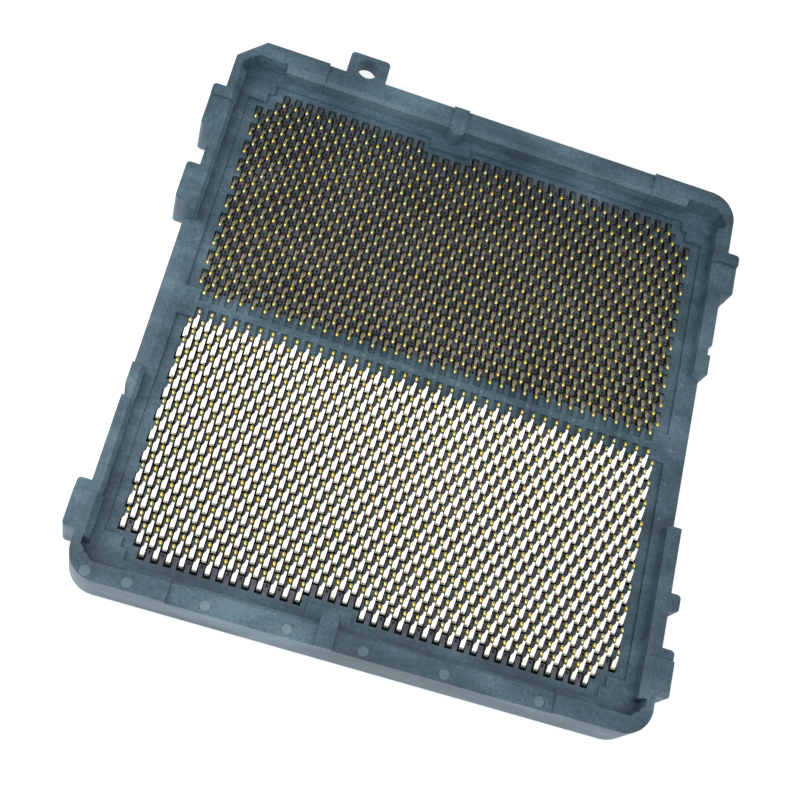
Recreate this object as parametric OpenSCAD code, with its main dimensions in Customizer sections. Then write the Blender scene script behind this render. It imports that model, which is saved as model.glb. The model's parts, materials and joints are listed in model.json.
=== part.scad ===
// Land-grid IC socket: one moulded housing, two mirrored banks of spring
// contacts that all lean towards the centre bar, and a solder ball under each.
//
// Frame: the origin is the centre of the contact grid on the circuit board's
// face. +X runs along the contact rows, +Y points to the lug with the hole and
// +Z points up, away from the board.

/* [Contact grid] */
// Spacing of the contacts along a row
contact_pitch = 0.94; // [0.9:0.01:1.0]
// Spacing of the rows
row_pitch = 0.838; // [0.8:0.001:0.9]
// Rows in each bank
bank_rows = 22; // [12:2:24]
// Contacts in an even row; odd rows have one fewer and sit half a pitch over
row_contacts = 40; // [30:2:42]
// Rows at the outer edge of a bank whose ends are left out
short_rows = 2; // [1:1:4]
// Contacts left out of the last row on each side of the key's centre line
key_gap_contacts = 2; // [1:1:3]
// Contact pitches from the grid's centre line to the keys' centre line
key_offset_pitches = 3; // [0:1:8]

/* [Spring contacts] */
// Plan length of the sprung arm, from its bend to the touch point
arm_run = 1.14; // [0.9:0.01:1.2]
// Width of the strip
strip_w = 0.34; // [0.2:0.01:0.4]
// Thickness of the strip
strip_t = 0.12; // [0.08:0.01:0.16]
// Height of the touch point above the seating ledge
tip_rise = 0.54; // [0.3:0.01:0.7]
// Distance from a row line back to the touch point
tip_setback = 0.044; // [0:0.001:0.1]
// Plan length of the flat land at the touch point
tip_land = 0.09; // [0.05:0.01:0.15]

/* [Solder balls] */
// Diameter of a ball
ball_d = 0.5; // [0.4:0.01:0.6]
// Gap that the balls hold between the housing and the board
standoff = 0.42; // [0.35:0.01:0.48]

/* [Housing heights] */
// Thickness of the housing from its underside to the seating ledge
floor_t = 2.32; // [1.8:0.01:3]
// Height of the rim's middle stretches above the seating ledge
rim_h = 1.49; // [1:0.01:2]
// Extra height of the rim round the four corners
corner_step = 0.3; // [0.1:0.01:0.5]
// Height of the two keys above the rim's middle stretches
key_step = 0.24; // [0.1:0.01:0.3]
// Depth of the contact fields below the seating ledge
field_depth = 0.28; // [0.15:0.01:0.5]
// Depth of the contact slots below the fields
slot_depth = 0.9; // [0.6:0.01:1.2]
// Drop of the finger shelf from the ledge to the outer wall
shelf_drop = 0.33; // [0.1:0.01:0.6]

/* [Housing plan] */
// From the last contact of a full row to the edge of the field
field_margin_x = 1.09; // [0.8:0.01:1.3]
// From the last slot to the edge of the field
field_margin_y = 0.4; // [0.25:0.01:0.6]
// Width of the seating ledge beside the fields
ledge_x = 0.76; // [0.5:0.01:1]
// Width of the seating ledge at the far and near ends
ledge_y = 0.66; // [0.5:0.01:1]
// Thickness of the side walls
wall_x = 1.01; // [0.8:0.01:1.4]
// Thickness of the far and near walls
wall_y = 1.76; // [1.4:0.01:2.2]
// Radius of the three rounded corners
corner_r = 2.2; // [1.5:0.1:3]
// Leg of the chamfer on the fourth corner
corner_cut = 2; // [1:0.1:3]
// Length of the raised rim along X from each corner
corner_run_x = 7.2; // [6:0.1:9]
// Length of the raised rim along Y from each corner
corner_run_y = 6; // [5:0.1:8]
// Length of each low gap in the side walls
side_gap = 13; // [10:0.1:15]

/* [Package guides] */
// Depth of the corner pockets into the side walls behind the guide pads
pocket_x = 0.47; // [0.2:0.01:0.6]
// Depth of the corner pockets into the far and near walls
pocket_y = 0.52; // [0.2:0.01:0.8]
// Chamfer across the inside of each corner pocket
pocket_cut = 1; // [0.5:0.1:1.5]
// Length of a guide pad
pad_l = 3.15; // [2:0.05:4]
// Lead-in chamfer of the guide pads
pad_lead = 0.45; // [0.2:0.01:0.5]
// Set-back of the side walls' middle stretches behind the pads
relief = 0.09; // [0.05:0.01:0.15]
// Lead-in chamfer of the middle stretches
rim_lead = 0.3; // [0.1:0.01:0.4]
// Width of the two keys
key_w = 1.28; // [0.8:0.01:1.6]
// Reach of the keys over the ledge, past the guide pads
key_reach = 0.72; // [0.4:0.01:0.9]

/* [Centre bar] */
// Width of the bar across both banks, between the fields
bar_w = 2.4; // [2:0.01:2.6]
// Width of the solid spine between the two combs
spine_w = 0.6; // [0.4:0.01:0.8]
// Width of a comb notch, which clears one contact
notch_w = 0.6; // [0.5:0.01:0.7]

/* [Slots] */
// Width of a contact slot, across the row
slot_w = 0.5; // [0.4:0.01:0.6]
// Clearance from a slot's outer wall to the back of the contacts
slot_back = 0.11; // [0.05:0.01:0.2]
// Clearance past the last contact of a slot
slot_end = 0.13; // [0.05:0.01:0.2]

/* [Lugs] */
// Reach of the side lugs from the outer walls
lug_reach = 0.98; // [0.5:0.01:1.5]
// Radius of the lugs' outer corners
lug_r = 0.3; // [0.1:0.01:0.4]
// Length of the four corner lugs
lug_l = 3.65; // [3:0.05:4.5]
// From the far wall to the far corner lugs
far_lug_inset = 5.05; // [4:0.05:6]
// From the near wall to the near corner lugs
near_lug_inset = 3.2; // [2.5:0.05:5]
// Length of the left middle lug
mid_lug_l = 3.3; // [2:0.05:4]
// Where the left middle lug begins, from the grid's centre
mid_lug_y = 7.1; // [6.6:0.05:8]
// Length of the right hook lug
hook_l = 1.35; // [1:0.05:2]
// Where the right hook lug begins, from the grid's centre
hook_y = -12.9; // [-13.5:0.05:-11]
// Reach of the right hook lug
hook_reach = 0.78; // [0.5:0.01:1]
// Length of the relief nicks in the side walls
nick_l = 0.9; // [0.5:0.05:1.5]
// Depth of the relief nicks
nick_depth = 0.25; // [0.1:0.01:0.4]
// Distance of the relief nicks from the grid's centre
nick_y = 8.2; // [7:0.05:9]

/* [Ear] */
// Width of the ear on the far wall
ear_w = 3.26; // [2.6:0.01:4]
// Reach of the ear from the far wall
ear_reach = 2.05; // [1.9:0.01:2.6]
// Thickness of the ear
ear_t = 1.49; // [1:0.01:2]
// Distance of the hole from the grid's centre line
ear_x = -10.99; // [-12:0.01:-8]
// Distance of the hole from the far wall
ear_hole_out = 0.84; // [0.7:0.01:1]
// Diameter of the hole
ear_hole_d = 1.72; // [1.4:0.01:1.9]
// Radius of the ear's outer corners
ear_r = 0.35; // [0.1:0.01:0.6]

/* [Hidden] */
$fn = 48;
// overshoot that lets a cut break clean through a face
e = 0.05;
banks = ["far", "near"];
rows_per_node = 2;
groups = [1 : floor(bank_rows / rows_per_node)];
walls = ["end_far", "end_near", "side_left", "side_right"];

// levels above the board
z_foot = standoff;
z_ledge = z_foot + floor_t;
z_field = z_ledge - field_depth;
z_slot = z_field - slot_depth;
z_tip = z_ledge + tip_rise;
z_rim = z_ledge + rim_h;
z_corner = z_rim + corner_step;
z_key = z_rim + key_step;

// the contact grid and the slots
key_x = -key_offset_pitches * contact_pitch;
key_gap_w = (2 * key_gap_contacts + 1) * contact_pitch - contact_pitch / 2;
grid_x = (row_contacts - 1) / 2 * contact_pitch;
short_x = grid_x - (short_rows - 0.5) * contact_pitch + contact_pitch / 4;
stem_in = arm_run - tip_setback;
slot_out = stem_in + strip_t + slot_back;
slot_in = slot_out - slot_w;
last_slot = bank_rows * row_pitch + slot_out;

// the housing's faces, from the grid's centre
field_x = grid_x + field_margin_x;
field_y = last_slot + field_margin_y;
pad_x = field_x + ledge_x - relief;
pad_y = field_y + ledge_y - relief;
side_x = pad_x + relief;
end_y = pad_y + relief;
outer_x = side_x + wall_x;
outer_y = end_y + wall_y;
raised_x = outer_x - corner_run_x;
raised_y = outer_y - corner_run_y;
lug_x = outer_x + lug_reach;
// the end walls take the keys and the corners, the side walls what is left between them
end_cut = pad_y - key_reach - e;

function node_name(kind, bank, group) = str(kind, "_", bank, "_", group < 10 ? "0" : "", group);
function bank_side(bank) = bank == "far" ? 1 : -1;

// Contacts in a row, counted from its left end before any are left out
function row_count(row) = row_contacts - row % 2;
// Where a contact of a row stands along X
function contact_x(row, k) = (k - (row_count(row) - 1) / 2) * contact_pitch;
// Whether the grid has this contact: the outer rows lose their ends, the last one its middle
function has_contact(row, x) =
    (row <= bank_rows - short_rows || abs(x) < short_x)
    && (row < bank_rows || abs(x - key_x) > key_gap_w / 2);
// The X places of every contact in a row
function row_places(row) =
    [for (k = [0 : row_count(row) - 1]) let (x = contact_x(row, k)) if (has_contact(row, x)) x];
// The corners of the grid, where the balls carry the socket while it lies on the board
function is_corner_ball(row, x) = row == bank_rows - short_rows && abs(x) > grid_x - contact_pitch / 2;

// Outer outline of the housing: three round corners and one chamfered
module body_2d() {
    difference() {
        square([2 * outer_x, 2 * outer_y], center = true);
        for (corner = [[1, 1], [1, -1], [-1, -1]])
            scale([corner[0], corner[1]]) translate([outer_x - corner_r, outer_y - corner_r])
                difference() {
                    square(corner_r + e);
                    circle(corner_r);
                }
        polygon([[-outer_x - e, outer_y - corner_cut - e], [-outer_x - e, outer_y + e],
                 [-outer_x + corner_cut + e, outer_y + e]]);
    }
}

// A block on the right of the Y axis, with its two outer corners rounded
module lug_2d(y, length, reach, r) {
    difference() {
        translate([0, y]) square([reach, length]);
        for (side = [0, 1])
            translate([reach - r, y + (side == 0 ? r : length - r)]) scale([1, side == 0 ? -1 : 1])
                difference() {
                    square(r + e);
                    circle(r);
                }
    }
}

// The lugs on the side walls, which place the socket in its frame
module side_lugs_2d() {
    for (side = [-1, 1]) scale([side, 1]) translate([outer_x - e, 0]) {
        lug_2d(outer_y - far_lug_inset - lug_l, lug_l, lug_reach + e, lug_r);
        lug_2d(-outer_y + near_lug_inset, lug_l, lug_reach + e, lug_r);
    }
    scale([-1, 1]) translate([outer_x - e, 0]) lug_2d(mid_lug_y, mid_lug_l, lug_reach + e, lug_r);
    translate([outer_x - e, 0]) lug_2d(hook_y, hook_l, hook_reach + e, lug_r);
}

// Nicks in the side walls, the right one turned half round to the left
module nicks_2d() {
    for (turn = [0, 180]) rotate(turn)
        translate([outer_x - nick_depth, nick_y]) square([nick_depth + lug_reach, nick_l]);
}

// A key: a rib over the end wall with a round nose that keeps the package the right way round
module key_2d() {
    nose_y = pad_y - key_reach + key_w / 2;
    translate([key_x, 0]) {
        translate([-key_w / 2, nose_y]) square([key_w, outer_y - nose_y]);
        translate([0, nose_y]) circle(d = key_w);
    }
}

// The four corner areas whose rim is raised
module corner_areas_2d() {
    for (sx = [-1, 1]) for (sy = [-1, 1]) scale([sx, sy])
        translate([raised_x, raised_y]) square([corner_run_x + lug_reach + e, corner_run_y + e]);
}

// Plan of the hollow above the seating ledge, which takes the package
module cavity_2d() {
    difference() {
        union() {
            square([2 * side_x, 2 * end_y], center = true);
            for (sx = [-1, 1]) for (sy = [-1, 1]) scale([sx, sy])
                polygon([[raised_x, raised_y], [pad_x + pocket_x, raised_y],
                         [pad_x + pocket_x, pad_y + pocket_y - pocket_cut],
                         [pad_x + pocket_x - pocket_cut, pad_y + pocket_y],
                         [raised_x, pad_y + pocket_y]]);
        }
        for (sx = [-1, 1]) for (sy = [-1, 1]) scale([sx, sy]) {
            translate([raised_x, pad_y]) square([pad_l, pocket_y + e]);
            translate([pad_x, raised_y]) square([pocket_x + e, pad_l]);
        }
        for (sy = [-1, 1]) scale([1, sy]) key_2d();
    }
}

// A long prism that bevels an edge running along Y, with the wall on its +X side
module lead_in(length, size) {
    rotate([90, 0, 0]) linear_extrude(length, center = true)
        polygon([[-e, e], [-e, -size - e], [size + e, e]]);
}

// Lead-in chamfers round the top of the hollow
module lead_ins() {
    for (side = [0, 180]) rotate(side) {
        translate([side_x, 0, z_rim]) lead_in(2 * raised_y, rim_lead);
        for (sy = [-1, 1])
            translate([pad_x, sy * (raised_y + pad_l / 2), z_corner]) lead_in(pad_l, pad_lead);
    }
    for (side = [90, 270]) rotate(side) {
        translate([end_y, 0, z_rim]) lead_in(2 * raised_x, rim_lead);
        for (sx = [-1, 1])
            translate([pad_y, sx * (raised_x + pad_l / 2), z_corner]) lead_in(pad_l, pad_lead);
    }
}

// One contact field: its edge steps in with the short rows and round the key
module field_2d() {
    step = contact_pitch / 2;
    key_l = key_x - key_gap_w / 2 + step;
    key_r = key_x + key_gap_w / 2 - step;
    short_field_x = short_x + ledge_x / 2;
    inset_y = field_y - short_rows * row_pitch;
    key_y = field_y - row_pitch;
    polygon([[-field_x, bar_w / 2], [-field_x, inset_y],
             [-short_field_x - step, inset_y], [-short_field_x - step, key_y],
             [-short_field_x, key_y], [-short_field_x, field_y],
             [key_l, field_y], [key_l, key_y], [key_r, key_y], [key_r, field_y],
             [short_field_x, field_y], [short_field_x, key_y],
             [short_field_x + step, key_y], [short_field_x + step, inset_y],
             [field_x, inset_y], [field_x, bar_w / 2]]);
}

// The comb in the centre bar: a notch for each contact of the first row
module comb_2d() {
    for (x = row_places(1))
        translate([x - notch_w / 2, spine_w / 2]) square([notch_w, (bar_w - spine_w) / 2 + e]);
}

// The slots of one bank, one per row, broken where the last row skips the key
module slots_2d() {
    for (row = [1 : bank_rows]) {
        places = row_places(row);
        half = strip_w / 2 + slot_end;
        gap = row == bank_rows
            ? [for (i = [0 : len(places) - 2]) if (places[i + 1] - places[i] > 1.5 * contact_pitch) i]
            : [];
        stretches = len(gap) == 0
            ? [[places[0], places[len(places) - 1]]]
            : [[places[0], places[gap[0]]], [places[gap[0] + 1], places[len(places) - 1]]];
        for (s = stretches)
            translate([s[0] - half, row * row_pitch + slot_in]) square([s[1] - s[0] + 2 * half, slot_w]);
    }
}

// A finger shelf: the low gap in a side wall, sloping outwards from the ledge
module side_gap_cut() {
    slope = shelf_drop / wall_x;
    rotate([90, 0, 0]) linear_extrude(side_gap, center = true)
        polygon([[side_x - e, z_ledge], [side_x, z_ledge],
                 [outer_x + e, z_ledge - slope * (wall_x + e)],
                 [outer_x + e, z_corner + e], [side_x - e, z_corner + e]]);
}

// Plan of the walls: the outline with its lugs and nicks, round the hollow for the package
module walls_2d() {
    difference() {
        union() {
            body_2d();
            side_lugs_2d();
        }
        nicks_2d();
        cavity_2d();
    }
}

// The stretch of the walls that one piece holds; the side walls leave the finger gaps open
module wall_zone_2d(wall) {
    if (wall == "end_far" || wall == "end_near")
        scale([1, wall == "end_far" ? 1 : -1])
            translate([-lug_x - e, end_cut]) square([2 * (lug_x + e), outer_y - end_cut + e]);
    else
        for (sy = [-1, 1]) scale([wall == "side_left" ? -1 : 1, sy])
            translate([0, side_gap / 2]) square([lug_x + e, end_cut - side_gap / 2]);
}

// Plan of the seating ledge's block: the hollow between the walls, and the finger gaps
module ledge_2d() {
    intersection() {
        body_2d();
        union() {
            cavity_2d();
            square([2 * outer_x, side_gap], center = true);
        }
    }
}

// The base of the moulding: a plate with a block on it up to the seating ledge, the two sunk
// contact fields, their slots, the centre bar and its combs, and a sloping shelf each side
module housing_base() {
    color("#46566a") difference() {
        union() {
            translate([0, 0, z_foot]) linear_extrude(z_field - z_foot) difference() {
                union() {
                    body_2d();
                    side_lugs_2d();
                }
                nicks_2d();
            }
            translate([0, 0, z_field - e]) linear_extrude(z_ledge - z_field + e) ledge_2d();
        }
        for (side = [0, 180]) rotate(side) side_gap_cut();
        for (sy = [-1, 1]) scale([1, sy, 1]) {
            translate([0, 0, z_field]) linear_extrude(field_depth + e) {
                field_2d();
                comb_2d();
            }
            translate([0, 0, z_slot]) linear_extrude(slot_depth + e) slots_2d();
        }
    }
}

// One wall, standing on the base's plate round the ledge: the end walls have the keys, the
// far one the ear too
module housing_wall(wall) {
    end_side = wall == "end_far" ? 1 : -1;
    color("#46566a") difference() {
        union() {
            translate([0, 0, z_field]) linear_extrude(z_rim - z_field) intersection() {
                walls_2d();
                wall_zone_2d(wall);
            }
            translate([0, 0, z_rim - e]) linear_extrude(corner_step + e) intersection() {
                walls_2d();
                wall_zone_2d(wall);
                corner_areas_2d();
            }
            if (wall == "end_far" || wall == "end_near")
                scale([1, end_side, 1])
                    translate([0, 0, z_field]) linear_extrude(z_key - z_field) key_2d();
            if (wall == "end_far")
                translate([ear_x, outer_y - e, z_rim - ear_t]) linear_extrude(ear_t)
                    rotate(90) lug_2d(-ear_w / 2, ear_w, ear_reach + e, ear_r);
        }
        lead_ins();
        if (wall == "end_far")
            translate([ear_x, outer_y + ear_hole_out, z_rim - ear_t - e])
                cylinder(h = ear_t + 2 * e, d = ear_hole_d);
    }
}

// Side view of a contact, with its row line at 0 and the bar on the left: a
// stem that stands in its slot, a bend, and an arm that rises to the touch point
module contact_profile() {
    bend_z = z_field + strip_t / 2;
    tip_y = -tip_setback;
    polygon([[stem_in, z_slot], [stem_in + strip_t, z_slot],
             [stem_in + strip_t, bend_z + strip_t],
             [tip_y + tip_land / 2, z_tip], [tip_y - tip_land / 2, z_tip],
             [stem_in, bend_z]]);
}

// One stamped spring contact
module contact() {
    rotate([90, 0, 90]) linear_extrude(strip_w, center = true) contact_profile();
}

// The contacts of two neighbouring rows
module contact_rows(bank, group) {
    color("#d9d3bd") scale([1, bank_side(bank), 1])
        for (row = [rows_per_node * (group - 1) + 1 : rows_per_node * group])
            for (x = row_places(row))
                translate([x, row * row_pitch, 0]) contact();
}

// One solder ball, flat where it has wetted the underside of the housing
module solder_ball() {
    translate([0, 0, ball_d / 2]) difference() {
        sphere(d = ball_d);
        translate([0, 0, standoff]) cube(ball_d, center = true);
    }
}

// A ball stands under each contact's stem
module ball_at(row, x) {
    translate([x, row * row_pitch + stem_in + strip_t / 2, 0]) solder_ball();
}

// The balls of two neighbouring rows, without the corner ones
module ball_rows(bank, group) {
    color("#b9bcc0") scale([1, bank_side(bank), 1])
        for (row = [rows_per_node * (group - 1) + 1 : rows_per_node * group])
            for (x = row_places(row))
                if (!is_corner_ball(row, x)) ball_at(row, x);
}

// The four balls at the corners of the grid
module corner_balls() {
    row = bank_rows - short_rows;
    color("#b9bcc0") for (sy = [-1, 1]) scale([1, sy, 1])
        for (x = row_places(row))
            if (is_corner_ball(row, x)) ball_at(row, x);
}

housing_base();
for (w = walls)
    housing_wall(w);
for (b = banks) for (g = groups) {
    contact_rows(b, g);
    ball_rows(b, g);
}
corner_balls();  // solder_balls_corner
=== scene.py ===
"""Dresses and lights a land-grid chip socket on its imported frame.

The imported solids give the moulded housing. New pieces stand for the stamped contacts and the
solder balls, and add the webs between the contact windows and the marks of the mould. All sizes
in the classes are in millimetres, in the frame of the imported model.
"""

from __future__ import annotations

import json
import logging
import math
from dataclasses import dataclass, field
from enum import Enum
from typing import Any

import bmesh
import bpy
from mathutils import Matrix, Vector

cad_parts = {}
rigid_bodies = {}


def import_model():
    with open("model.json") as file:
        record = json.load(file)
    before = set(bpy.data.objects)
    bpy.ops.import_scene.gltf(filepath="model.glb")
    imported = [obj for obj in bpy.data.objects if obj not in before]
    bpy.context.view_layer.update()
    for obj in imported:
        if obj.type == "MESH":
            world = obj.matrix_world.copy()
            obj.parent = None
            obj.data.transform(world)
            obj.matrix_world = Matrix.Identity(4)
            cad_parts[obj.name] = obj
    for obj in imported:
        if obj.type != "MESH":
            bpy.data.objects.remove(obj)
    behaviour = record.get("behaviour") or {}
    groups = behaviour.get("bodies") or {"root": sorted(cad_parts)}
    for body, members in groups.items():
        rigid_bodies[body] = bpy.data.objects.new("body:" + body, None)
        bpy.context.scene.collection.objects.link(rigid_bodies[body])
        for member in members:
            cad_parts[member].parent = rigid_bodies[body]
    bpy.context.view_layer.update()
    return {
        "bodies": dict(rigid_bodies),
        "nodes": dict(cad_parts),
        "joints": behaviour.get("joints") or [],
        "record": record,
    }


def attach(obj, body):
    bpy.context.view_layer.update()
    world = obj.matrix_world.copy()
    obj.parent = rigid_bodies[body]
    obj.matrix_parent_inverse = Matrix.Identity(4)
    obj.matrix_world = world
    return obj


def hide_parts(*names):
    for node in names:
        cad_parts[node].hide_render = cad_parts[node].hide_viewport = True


log = logging.getLogger("socket")
MM = 0.001
Rgba = tuple[float, float, float, float]


class Bank(Enum):
    """The two banks of contacts, with the side of the centre bar that each stands on."""

    FAR = 1
    NEAR = -1


def linear(colour: str) -> Rgba:
    """Turns an sRGB hex colour to linear RGBA.

    Args:
        colour: The colour as "#rrggbb".

    Returns:
        The four linear channels.
    """
    parts = [int(colour[i : i + 2], 16) / 255 for i in (1, 3, 5)]
    red, green, blue = (p / 12.92 if p <= 0.04045 else ((p + 0.055) / 1.055) ** 2.4 for p in parts)
    return red, green, blue, 1.0


def add_node(
    tree: bpy.types.NodeTree,
    kind: str,
    inputs: dict[Any, Any] | None = None,
    stops: dict[float, str] | None = None,
    **settings: Any,
) -> bpy.types.Node:
    """Adds a node with its settings, and sets or links its inputs.

    Args:
        tree: The node tree that gets it.
        kind: The node's type.
        inputs: A value or an output socket for each input that is set.
        stops: A colour ramp's hex colours by position.
        settings: The node's own properties.

    Returns:
        The new node.
    """
    node = tree.nodes.new(kind)
    for name, value in settings.items():
        setattr(node, name, value)
    for index, (position, colour) in enumerate((stops or {}).items()):
        points = node.color_ramp.elements
        point = points[index] if index < len(points) else points.new(position)
        point.position, point.color = position, linear(colour)
    for name, value in (inputs or {}).items():
        if isinstance(value, bpy.types.NodeSocket):
            tree.links.new(value, node.inputs[name])
        else:
            node.inputs[name].default_value = value
    return node


# ---------------------------------------------------------------- finishes


@dataclass(frozen=True)
class Finish:
    """A surface finish. Each kind says in dress() how its shader looks."""

    name: str

    def material(self) -> bpy.types.Material:
        """Makes the finish's material.

        Returns:
            The material, with its shader dressed.
        """
        made = bpy.data.materials.new(self.name)
        made.use_nodes = True
        tree = made.node_tree
        tree.nodes.clear()
        shader = add_node(tree, "ShaderNodeBsdfPrincipled")
        add_node(tree, "ShaderNodeOutputMaterial", {"Surface": shader.outputs["BSDF"]})
        place = add_node(tree, "ShaderNodeTexCoord").outputs["Object"]
        self.dress(tree, shader, place)
        return made

    def dress(
        self, tree: bpy.types.NodeTree, shader: bpy.types.Node, place: bpy.types.NodeSocket
    ) -> None:
        """Sets the shader up.

        Args:
            tree: The material's node tree.
            shader: Its Principled shader.
            place: The Object coordinates.
        """
        raise NotImplementedError


@dataclass(frozen=True)
class MouldedPolymer(Finish):
    """Glass-filled liquid crystal polymer, injection moulded.

    The glass lies along the flow, so the matt skin is mottled in two sizes: cloudy patches
    some millimetres long, and a fine fleck of fibres that also breaks the gloss. To the eye it
    is a soft, slightly uneven slate blue with no clear highlight.
    """

    deep: str = "#384d5a"
    body: str = "#4d6674"
    pale: str = "#6d8896"
    cloud_mm: float = 2.6
    # Real fibres are about 0.01 mm thick. They are drawn this coarse so that they show.
    fleck_mm: float = 0.22
    roughness: tuple[float, float] = (0.42, 0.62)
    grain_depth_mm: float = 0.02
    grain_strength: float = 0.6
    fleck_share: float = 0.45
    flow_stretch: tuple[float, float, float] = (0.45, 1.0, 1.0)
    deep_at: float = 0.5
    body_at: float = 0.72
    pale_at: float = 0.98
    cloud_layers: float = 6.0
    fleck_layers: float = 2.0
    ior: float = 1.55

    def dress(
        self, tree: bpy.types.NodeTree, shader: bpy.types.Node, place: bpy.types.NodeSocket
    ) -> None:
        """Lays the clouds and the fleck over the body colour.

        Args:
            tree: The material's node tree.
            shader: Its Principled shader.
            place: The Object coordinates.
        """
        # The clouds are stretched along the rows, as the melt runs.
        flow = add_node(
            tree, "ShaderNodeMapping", {"Vector": place, "Scale": self.flow_stretch}
        )
        cloud = add_node(
            tree,
            "ShaderNodeTexNoise",
            {
                "Vector": flow.outputs[0],
                "Scale": 1 / (self.cloud_mm * MM),
                "Detail": self.cloud_layers,
            },
        )
        fleck = add_node(
            tree,
            "ShaderNodeTexNoise",
            {
                "Vector": place,
                "Scale": 1 / (self.fleck_mm * MM),
                "Detail": self.fleck_layers,
            },
        )
        blend = add_node(
            tree,
            "ShaderNodeMath",
            {0: fleck.outputs["Fac"], 1: self.fleck_share, 2: cloud.outputs["Fac"]},
            operation="MULTIPLY_ADD",
        )
        colour = add_node(
            tree,
            "ShaderNodeValToRGB",
            {"Fac": blend.outputs[0]},
            stops={self.deep_at: self.deep, self.body_at: self.body, self.pale_at: self.pale},
        )
        low, high = self.roughness
        gloss = add_node(
            tree,
            "ShaderNodeMapRange",
            {"Value": fleck.outputs["Fac"], "To Min": low, "To Max": high},
        )
        # A faint tooth from the fleck keeps the skin matt at a grazing angle.
        bump = add_node(
            tree,
            "ShaderNodeBump",
            {
                "Strength": self.grain_strength,
                "Distance": self.grain_depth_mm * MM,
                "Height": fleck.outputs["Fac"],
            },
        )
        tree.links.new(colour.outputs["Color"], shader.inputs["Base Color"])
        tree.links.new(gloss.outputs[0], shader.inputs["Roughness"])
        tree.links.new(bump.outputs[0], shader.inputs["Normal"])
        shader.inputs["IOR"].default_value = self.ior


@dataclass(frozen=True)
class PlatedStrip(Finish):
    """Copper alloy strip, stamped and plated.

    A bright metal whose plating varies a little in tone from one contact to the next, with
    faint rolling marks that widen its highlights. To the eye each arm is a pale satin glint.
    """

    base: str = "#e2e0d8"
    other: str = "#d9d4c6"
    tone_mm: float = 0.8
    # Real rolling marks are a few thousandths of a millimetre apart, and are drawn coarser.
    mark_mm: float = 0.05
    tone_span: tuple[float, float] = (0.38, 0.62)
    tone_layers: float = 1.0
    mark_layers: float = 2.0
    roughness: tuple[float, float] = (0.2, 0.34)

    def dress(
        self, tree: bpy.types.NodeTree, shader: bpy.types.Node, place: bpy.types.NodeSocket
    ) -> None:
        """Varies the plating's tone and roughness.

        Args:
            tree: The material's node tree.
            shader: Its Principled shader.
            place: The Object coordinates.
        """
        tone = add_node(
            tree,
            "ShaderNodeTexNoise",
            {
                "Vector": place,
                "Scale": 1 / (self.tone_mm * MM),
                "Detail": self.tone_layers,
            },
        )
        marks = add_node(
            tree,
            "ShaderNodeTexNoise",
            {
                "Vector": place,
                "Scale": 1 / (self.mark_mm * MM),
                "Detail": self.mark_layers,
            },
        )
        low, high = self.roughness
        gloss = add_node(
            tree,
            "ShaderNodeMapRange",
            {"Value": marks.outputs["Fac"], "To Min": low, "To Max": high},
        )
        colour = add_node(
            tree,
            "ShaderNodeValToRGB",
            {"Fac": tone.outputs["Fac"]},
            stops=dict(zip(self.tone_span, (self.base, self.other))),
        )
        tree.links.new(colour.outputs["Color"], shader.inputs["Base Color"])
        tree.links.new(gloss.outputs[0], shader.inputs["Roughness"])
        shader.inputs["Metallic"].default_value = 1.0


@dataclass(frozen=True)
class OpalSheet(Finish):
    """Opal acrylic, cast, lit a little from below: a white floor that takes hardly a shadow."""

    colour: str = "#fafafa"
    shade: str = "#f7f7f7"
    # Cast sheet is nearly even, so the tooth is drawn coarse and almost without contrast.
    tooth_mm: float = 1.5
    tooth_span: tuple[float, float] = (0.3, 0.7)
    tooth_layers: float = 3.0
    roughness: float = 0.9
    glow: float = 0.5

    def dress(
        self, tree: bpy.types.NodeTree, shader: bpy.types.Node, place: bpy.types.NodeSocket
    ) -> None:
        """Gives the sheet its faint unevenness and its glow.

        Args:
            tree: The material's node tree.
            shader: Its Principled shader.
            place: The Object coordinates.
        """
        tooth = add_node(
            tree,
            "ShaderNodeTexNoise",
            {
                "Vector": place,
                "Scale": 1 / (self.tooth_mm * MM),
                "Detail": self.tooth_layers,
            },
        )
        colour = add_node(
            tree,
            "ShaderNodeValToRGB",
            {"Fac": tooth.outputs["Fac"]},
            stops=dict(zip(self.tooth_span, (self.shade, self.colour))),
        )
        tree.links.new(colour.outputs["Color"], shader.inputs["Base Color"])
        shader.inputs["Roughness"].default_value = self.roughness
        shader.inputs["Emission Color"].default_value = linear(self.colour)
        shader.inputs["Emission Strength"].default_value = self.glow


HOUSING = MouldedPolymer("moulded_liquid_crystal_polymer")
WINDOW_WEB = MouldedPolymer(
    "moulded_polymer_window_webs", deep="#444b55", body="#5b626c", pale="#777c84"
)
PIN_MARK = MouldedPolymer(
    "moulded_polymer_ejector_marks", deep="#5c6f7b", body="#6e828f", pale="#8698a3"
)
PIN_RING = MouldedPolymer(
    "moulded_polymer_mark_edges", deep="#3c4a54", body="#495964", pale="#586873"
)
NICKEL = PlatedStrip("nickel_plated_copper_alloy_strip")
GOLD = PlatedStrip(
    "gold_plated_touch_points",
    base="#ffe870",
    other="#fff3b4",
    roughness=(0.2, 0.32),
)
# Near-black painted shade, not a colour of the polymer: flat quads carry it over the window mouths
# and the web pockets in place of the shade down those holes.
PAINTED_SHADE = MouldedPolymer(
    "painted_shade_near_black", deep="#0b0c0d", body="#101214", pale="#16181b"
)
SOLDER = PlatedStrip(
    "tin_silver_solder_reflowed", base="#b9bcc0", other="#a9adb3", roughness=(0.3, 0.45)
)


# ------------------------------------------------------------- mesh helpers


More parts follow.
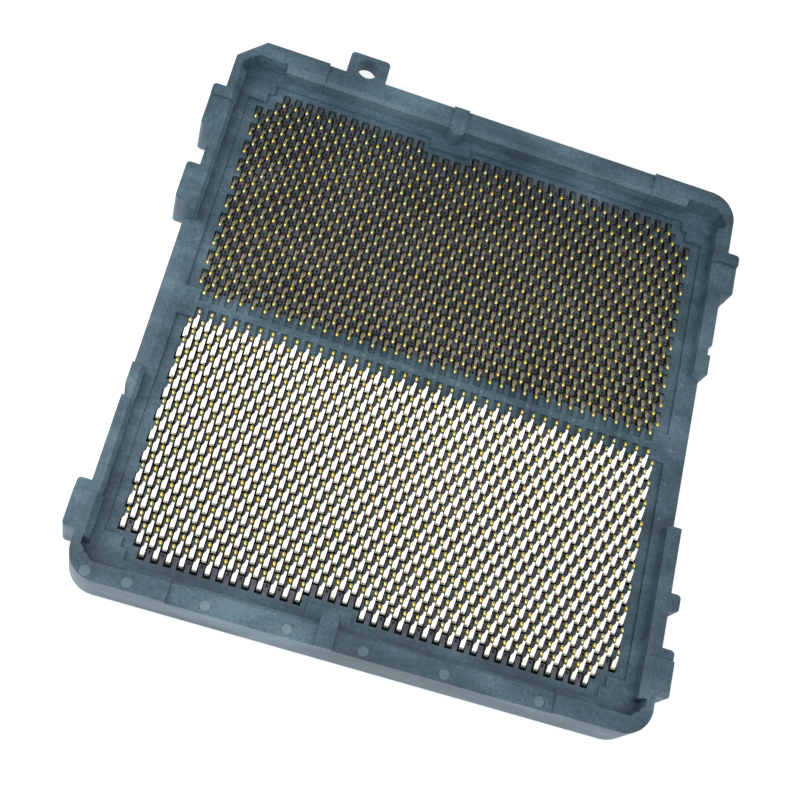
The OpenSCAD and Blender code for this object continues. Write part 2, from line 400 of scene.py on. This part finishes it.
def finish_piece(
    name: str, bm: bmesh.types.BMesh, finishes: list[bpy.types.Material], smooth: bool
) -> bpy.types.Object:
    """Turns a bmesh in millimetres into a finished piece that rides on the frame.

    Args:
        name: The piece's name.
        bm: Its shape, which is freed.
        finishes: Its materials, in the order of the faces' material numbers.
        smooth: Whether its faces are shaded smooth.

    Returns:
        The piece.
    """
    bmesh.ops.recalc_face_normals(bm, faces=bm.faces)
    for face in bm.faces:
        face.smooth = smooth
    bmesh.ops.scale(bm, vec=(MM, MM, MM), verts=bm.verts)
    mesh = bpy.data.meshes.new(name)
    bm.to_mesh(mesh)
    bm.free()
    for finish in finishes:
        mesh.materials.append(finish)
    piece = bpy.data.objects.new(name, mesh)
    bpy.context.scene.collection.objects.link(piece)
    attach(piece, "root")
    log.info("%s: %d faces", name, len(mesh.polygons))
    return piece


def repeat(template: bmesh.types.BMesh, places: list[Matrix]) -> bmesh.types.BMesh:
    """Copies a shape to many places.

    Args:
        template: The shape, which is freed.
        places: Where each copy goes.

    Returns:
        One bmesh with all the copies.
    """
    mesh = bpy.data.meshes.new("template")
    template.to_mesh(mesh)
    template.free()
    many = bmesh.new()
    for place in places:
        known = len(many.verts)
        many.from_mesh(mesh)
        many.verts.ensure_lookup_table()
        bmesh.ops.transform(many, matrix=place, verts=many.verts[known:])
    bpy.data.meshes.remove(mesh)
    return many


# ------------------------------------------------------------ sub-assemblies


@dataclass
class ContactGrid:
    """Where the contacts stand: staggered rows out from the centre bar."""

    pitch: float = 0.94
    row_pitch: float = 0.838
    rows: int = 22
    row_contacts: int = 40
    short_rows: int = 2
    short_by: float = 1.25
    key_x: float = -2.82
    key_gap: float = 4.23

    def row_xs(self, row: int) -> list[float]:
        """Gives the X places of a row's contacts.

        Args:
            row: The row's number, from 1 at the centre bar.

        Returns:
            The places in millimetres.
        """
        count = self.row_contacts - row % 2
        xs = [(k - (count - 1) / 2) * self.pitch for k in range(count)]
        edge = (self.row_contacts - 1) / 2 * self.pitch
        if row > self.rows - self.short_rows:
            xs = [x for x in xs if abs(x) < edge - self.short_by * self.pitch]
        if row == self.rows:
            xs = [x for x in xs if abs(x - self.key_x) > self.key_gap / 2]
        return xs

    def places(self, bank: Bank, reach: float = 0.0) -> list[Matrix]:
        """Gives every contact's place in a bank, the near bank turned half round.

        Args:
            bank: The bank.
            reach: How far outwards from the row line the place is.

        Returns:
            A matrix for each contact.
        """
        turn = Matrix.Rotation(0.0 if bank is Bank.FAR else math.pi, 4, "Z")
        found = []
        for row in range(1, self.rows + 1):
            y = bank.value * (row * self.row_pitch + reach)
            found += [Matrix.Translation((x, y, 0)) @ turn for x in self.row_xs(row)]
        return found


@dataclass
class StampedContact:
    """One spring contact: a stem, a bend, a rising arm that narrows to one side, and a domed tip.

    The strip's stations run from the stem's foot to the end of the tab, each with how far out it
    is, its height and where its slanting edge is.
    """

    grid: ContactGrid
    straight_edge: float = -0.155
    strip_t: float = 0.1
    stations: tuple[tuple[float, float, float], ...] = (
        (1.156, 1.58, 0.175),
        (1.156, 2.46, 0.175),
        (1.12, 2.56, 0.175),
        (1.0, 2.64, 0.175),
        (0.58, 2.867, 0.175),
        (0.4, 2.964, 0.04),
        (0.22, 3.06, 0.03),
        (0.13, 2.96, 0.03),
        (-0.13, 2.96, 0.03),
    )
    dome_facets: tuple[int, int] = (8, 6)
    dome_r: float = 0.14
    dome_stretch: float = 1.6
    dome_at: tuple[float, float, float] = (-0.06, -0.06, 3.14)

    def shape(self) -> bmesh.types.BMesh:
        """Extrudes the strip along its stations, gives it its thickness and sets the dome on it.

        Returns:
            The contact's shape.
        """
        bm = bmesh.new()
        out, up, edge = self.stations[0]
        start = [bm.verts.new((self.straight_edge, out, up)), bm.verts.new((edge, out, up))]
        front = [bm.edges.new(start)]
        for out, up, edge in self.stations[1:]:
            grown = bmesh.ops.extrude_edge_only(bm, edges=front)["geom"]
            front = [g for g in grown if isinstance(g, bmesh.types.BMEdge)]
            ends = sorted(front[0].verts, key=lambda v: v.co.x)
            for vert, x in zip(ends, (self.straight_edge, edge)):
                vert.co = (x, out, up)
        bmesh.ops.recalc_face_normals(bm, faces=bm.faces)
        bmesh.ops.solidify(bm, geom=bm.faces[:], thickness=self.strip_t)
        self.add_dome(bm)
        return bm

    def add_dome(self, bm: bmesh.types.BMesh) -> None:
        """Adds the touch point, a ball pressed up from the tab, with the second finish.

        Args:
            bm: The contact so far.
        """
        around, rings = self.dome_facets
        ball = bmesh.ops.create_uvsphere(
            bm, u_segments=around, v_segments=rings, radius=self.dome_r
        )
        verts = ball["verts"]
        for face in {f for v in verts for f in v.link_faces}:
            face.material_index = 1
        bmesh.ops.scale(bm, vec=(1.0, self.dome_stretch, 1.0), verts=verts)
        bmesh.ops.translate(bm, vec=self.dome_at, verts=verts)

    def build(self, frame: dict[str, Any]) -> None:
        """Makes both banks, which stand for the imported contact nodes.
        """
        finishes = [NICKEL.material(), GOLD.material()]
        for bank in Bank:
            many = repeat(self.shape(), self.grid.places(bank))
            piece = finish_piece(
                f"stamped_contacts_{bank.name.lower()}", many, finishes, False
            )
            for face in piece.data.polygons:
                face.use_smooth = face.material_index == 1
            nodes = [n for n in frame["nodes"] if n.startswith(f"contacts_{bank.name.lower()}")]
            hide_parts(*nodes)


@dataclass
class WindowWebs:
    """The thin walls between the windows of a row. Two in three have a pocket in their top, drawn
    as a flat near-black quad of painted shade rather than cut.
    """

    grid: ContactGrid
    window_w: float = 0.58
    low_reach: float = 0.42
    high_reach: float = 1.326
    low: float = 1.56
    top: float = 2.464
    # The pocket is painted shade: a near-black quad of this size laid on the web top, not a
    # recess.
    pocket: tuple[float, float] = (0.19, 0.25)
    pocket_reach: float = 0.6
    proud: float = 0.002
    # Neighbours further apart than this many pitches have the key's gap between them.
    widest: float = 1.5
    # Half pitches from one plain column to the next, and where they start in odd and even rows.
    cycle: int = 6
    odd_start: int = 3
    even_start: int = 0

    def web(self, pocket_shaded: bool) -> bmesh.types.BMesh:
        """Makes one web.

        Args:
            pocket_shaded: Whether its top has a pocket.

        Returns:
            Its shape.
        """
        bm = bmesh.new()
        bmesh.ops.create_cube(bm, size=1.0)
        size = (
            self.grid.pitch - self.window_w,
            self.high_reach - self.low_reach,
            self.top - self.low,
        )
        bmesh.ops.scale(bm, vec=size, verts=bm.verts)
        middle = (self.low_reach + self.high_reach) / 2
        bmesh.ops.translate(bm, vec=(0, middle, (self.low + self.top) / 2), verts=bm.verts)
        # No pocket is cut: a thin near-black box proud of the top stands for the shade in it.
        if pocket_shaded:
            made = bmesh.ops.create_cube(bm, size=1.0)
            bmesh.ops.scale(bm, vec=(*self.pocket, 2 * self.proud), verts=made["verts"])
            lift = (0, self.pocket_reach, self.top)
            bmesh.ops.translate(bm, vec=lift, verts=made["verts"])
            for face in {f for v in made["verts"] for f in v.link_faces}:
                face.material_index = 1
        return bm

    def build(self) -> None:
        """Makes the webs of both banks, the plain ones in every third column."""
        finishes = [WINDOW_WEB.material(), PAINTED_SHADE.material()]
        turns = {Bank.FAR: Matrix.Identity(4), Bank.NEAR: Matrix.Rotation(math.pi, 4, "Z")}
        for bank in Bank:
            places: dict[bool, list[Matrix]] = {True: [], False: []}
            for row in range(1, self.grid.rows + 1):
                y = bank.value * row * self.grid.row_pitch
                xs = self.grid.row_xs(row)
                for left, right in zip(xs, xs[1:]):
                    if right - left > self.widest * self.grid.pitch:
                        continue
                    column = round((left + right) / self.grid.pitch)
                    plain = column % self.cycle == (self.odd_start if row % 2 else self.even_start)
                    place = Matrix.Translation(((left + right) / 2, y, 0)) @ turns[bank]
                    places[not plain].append(place)
            for pocket_shaded, where in places.items():
                kind = "pocket_shaded" if pocket_shaded else "plain"
                name = f"window_webs_{kind}_{bank.name.lower()}"
                finish_piece(name, repeat(self.web(pocket_shaded), where), finishes, False)


@dataclass
class PaintedWindowShade:
    """Painted shade for the mouth of each contact's window: a thin near-black quad on the floor of
    the field under the arm, in place of the shade down the hole.
    """

    grid: ContactGrid
    width: float = 0.56
    low_reach: float = 0.42
    high_reach: float = 0.83
    floor_z: float = 2.46
    proud: float = 0.004

    def build(self) -> None:
        """Lays the painted window shade of both banks."""
        finish = PAINTED_SHADE.material()
        for bank in Bank:
            bm = bmesh.new()
            bmesh.ops.create_cube(bm, size=1.0)
            size = (self.width, self.high_reach - self.low_reach, 2 * self.proud)
            middle = (self.low_reach + self.high_reach) / 2
            bmesh.ops.scale(bm, vec=size, verts=bm.verts)
            bmesh.ops.translate(bm, vec=(0, middle, self.floor_z), verts=bm.verts)
            many = repeat(bm, self.grid.places(bank))
            finish_piece(f"painted_window_shade_{bank.name.lower()}", many, [finish], False)


@dataclass
class SolderGrid:
    """The solder balls under the housing, one to each contact's stem."""

    grid: ContactGrid
    ball_d: float = 0.5
    facets: tuple[int, int] = (10, 8)
    flat_at: float = 0.42
    reach: float = 1.156

    def ball(self) -> bmesh.types.BMesh:
        """Makes one ball, flat where it has wetted the housing.

        Returns:
            Its shape.
        """
        bm = bmesh.new()
        around, rings = self.facets
        bmesh.ops.create_uvsphere(
            bm, u_segments=around, v_segments=rings, radius=self.ball_d / 2
        )
        bmesh.ops.translate(bm, vec=(0, 0, self.ball_d / 2), verts=bm.verts)
        cut = bmesh.ops.bisect_plane(
            bm,
            geom=bm.verts[:] + bm.edges[:] + bm.faces[:],
            plane_co=(0, 0, self.flat_at),
            plane_no=(0, 0, 1),
            clear_outer=True,
        )
        edges = [g for g in cut["geom_cut"] if isinstance(g, bmesh.types.BMEdge)]
        bmesh.ops.contextual_create(bm, geom=edges)
        return bm

    def build(self, frame: dict[str, Any]) -> None:
        """Makes the balls of both banks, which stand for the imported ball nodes.
        """
        finish = SOLDER.material()
        for bank in Bank:
            many = repeat(self.ball(), self.grid.places(bank, self.reach))
            side = bank.name.lower()
            piece = finish_piece(f"reflowed_balls_{side}", many, [finish], True)
            nodes = [n for n in frame["nodes"] if n.startswith(f"solder_balls_{side}")]
            if bank is Bank.FAR:
                nodes.append("solder_balls_corner")
            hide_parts(*nodes)


@dataclass
class MouldMarks:
    """What the mould leaves on the housing: ejector pin marks and small gate dots."""

    rim_z: float = 4.23
    corner_z: float = 4.53
    bar_z: float = 2.74
    pin_y: float = -22.0
    pin_xs: tuple[float, ...] = (-19.7, -16.8, -11.3, -5.5, 0.0, 5.9, 12.9)
    pin_r: float = 0.44
    corner_x: float = 13.99
    dot_r: float = 0.16
    proud: float = 0.006
    # The corners are the highest faces, so their marks stand only 0.0002 mm proud of them.
    sunk: float = 0.0058
    ring_share: float = 0.14
    facets: int = 24
    pitch: float = 0.94
    bar_dots: int = 14
    bar_start: float = -9.5
    bar_step: float = 2.0
    ledge_dots: tuple[tuple[float, float], ...] = field(
        default_factory=lambda: tuple((19.8, y) for y in (-5.7, -2.85, 0.0, 2.85, 5.7))
    )

    def disc(self, bm: bmesh.types.BMesh, at: tuple[float, float, float], r: float) -> None:
        """Adds a thin disc with a darker edge ring.

        Args:
            bm: The marks so far.
            at: Its centre on the surface.
            r: Its radius.
        """
        made = bmesh.ops.create_cone(
            bm,
            cap_ends=True,
            segments=self.facets,
            radius1=r,
            radius2=r,
            depth=2 * self.proud,
        )
        verts = made["verts"]
        bmesh.ops.translate(bm, vec=at, verts=verts)
        caps = {f for v in verts for f in v.link_faces if len(f.verts) > 4}
        top = max(caps, key=lambda f: f.calc_center_median().z)
        ring = bmesh.ops.inset_region(bm, faces=[top], thickness=r * self.ring_share)["faces"]
        for face in ring:
            face.material_index = 1

    def build(self) -> None:
        """Makes the pin marks on the near rim and the dots on the bar and the right ledge."""
        finishes = [PIN_MARK.material(), PIN_RING.material()]
        pins = bmesh.new()
        for x in self.pin_xs:
            if abs(x) > self.corner_x:
                self.disc(pins, (x, self.pin_y, self.corner_z - self.sunk), self.pin_r)
            else:
                self.disc(pins, (x, self.pin_y, self.rim_z), self.pin_r)
        finish_piece("ejector_pin_marks", pins, finishes, False)
        dots = bmesh.new()
        for k in range(self.bar_dots):
            x = (self.bar_step * k + self.bar_start) * self.pitch
            self.disc(dots, (x, 0.0, self.bar_z), self.dot_r)
        for x, y in self.ledge_dots:
            self.disc(dots, (x, y, self.bar_z), self.dot_r)
        finish_piece("gate_dots", dots, finishes, False)


@dataclass
class Studio:
    """A white floor, a soft sky, two softboxes and the camera."""

    camera_at: tuple[float, float, float] = (-14.096, -42.8, 99.132)
    looks_at: tuple[float, float, float] = (-1.742, -2.869, 3.28)
    camera_up: tuple[float, float, float] = (-0.2937, 0.89524, 0.33509)
    lens: float = 63.08
    clip: tuple[float, float] = (0.001, 10.0)
    floor_size: float = 1600.0
    sky: str = "#c4c6c8"
    sky_strength: float = 0.72
    key_dir: tuple[float, float, float] = (0.04, -0.457, 0.881)
    key_distance: float = 350.0
    key_size: float = 280.0
    key_power: float = 0.47
    fill_dir: tuple[float, float, float] = (-0.78, -0.1, 0.62)
    fill_distance: float = 62.0
    fill_size: float = 36.0
    fill_power: float = 0.011

    def camera(self) -> None:
        """Places the camera at the product-shot angle."""
        data = bpy.data.cameras.new("camera")
        data.lens = self.lens
        data.clip_start, data.clip_end = self.clip
        camera = bpy.data.objects.new("camera", data)
        ahead = (Vector(self.looks_at) - Vector(self.camera_at)).normalized()
        right = ahead.cross(Vector(self.camera_up)).normalized()
        up = right.cross(ahead)
        turn = Matrix((right, up, -ahead)).transposed().to_4x4()
        camera.matrix_world = Matrix.Translation(Vector(self.camera_at) * MM) @ turn
        bpy.context.scene.collection.objects.link(camera)
        bpy.context.scene.camera = camera

    def floor(self) -> None:
        """Lays the floor under the solder balls."""
        bm = bmesh.new()
        bmesh.ops.create_grid(bm, x_segments=1, y_segments=1, size=self.floor_size / 2 * MM)
        mesh = bpy.data.meshes.new("floor")
        bm.to_mesh(mesh)
        bm.free()
        mesh.materials.append(OpalSheet("cast_opal_acrylic_sheet").material())
        floor = bpy.data.objects.new("floor", mesh)
        bpy.context.scene.collection.objects.link(floor)

    def lights(self) -> None:
        """Sets the sky, a far softbox over the near side and a close one on the left."""
        world = bpy.data.worlds.new("studio")
        world.use_nodes = True
        background = world.node_tree.nodes["Background"]
        background.inputs["Color"].default_value = linear(self.sky)
        background.inputs["Strength"].default_value = self.sky_strength
        bpy.context.scene.world = world
        self.softbox("key", self.key_dir, self.key_distance, self.key_size, self.key_power)
        self.softbox("fill", self.fill_dir, self.fill_distance, self.fill_size, self.fill_power)

    def softbox(
        self,
        name: str,
        towards: tuple[float, float, float],
        distance: float,
        size: float,
        power: float,
    ) -> None:
        """Sets one square softbox that faces the socket's centre and isn't seen itself.

        Args:
            name: Its name.
            towards: The direction it stands in.
            distance: How far off it is, in millimetres.
            size: Its side, in millimetres.
            power: Its power in watts.
        """
        data = bpy.data.lights.new(name, "AREA")
        data.shape = "SQUARE"
        data.size = size * MM
        data.energy = power
        softbox = bpy.data.objects.new(name, data)
        softbox.visible_camera = False
        away = Vector(towards).normalized()
        turn = (-away).to_track_quat("-Z", "Y").to_matrix().to_4x4()
        softbox.matrix_world = Matrix.Translation(away * distance * MM) @ turn
        bpy.context.scene.collection.objects.link(softbox)

    def build(self) -> None:
        """Sets up the whole studio, with plain colour handling."""
        self.camera()
        self.floor()
        self.lights()
        bpy.context.scene.view_settings.view_transform = "Standard"


def dress_housing(frame: dict[str, Any]) -> None:
    """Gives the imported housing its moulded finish.
    """
    finish = HOUSING.material()
    for name, node in frame["nodes"].items():
        if name.startswith("housing"):
            for place in node.material_slots:
                place.material = finish


def main() -> None:
    """Builds the dressed socket and its studio."""
    logging.basicConfig(level=logging.INFO, format="%(name)s: %(message)s")
    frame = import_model()
    Studio().build()
    grid = ContactGrid()
    dress_housing(frame)
    StampedContact(grid).build(frame)
    WindowWebs(grid).build()
    PaintedWindowShade(grid).build()
    SolderGrid(grid).build(frame)
    MouldMarks().build()


if __name__ == "__main__":
    main()
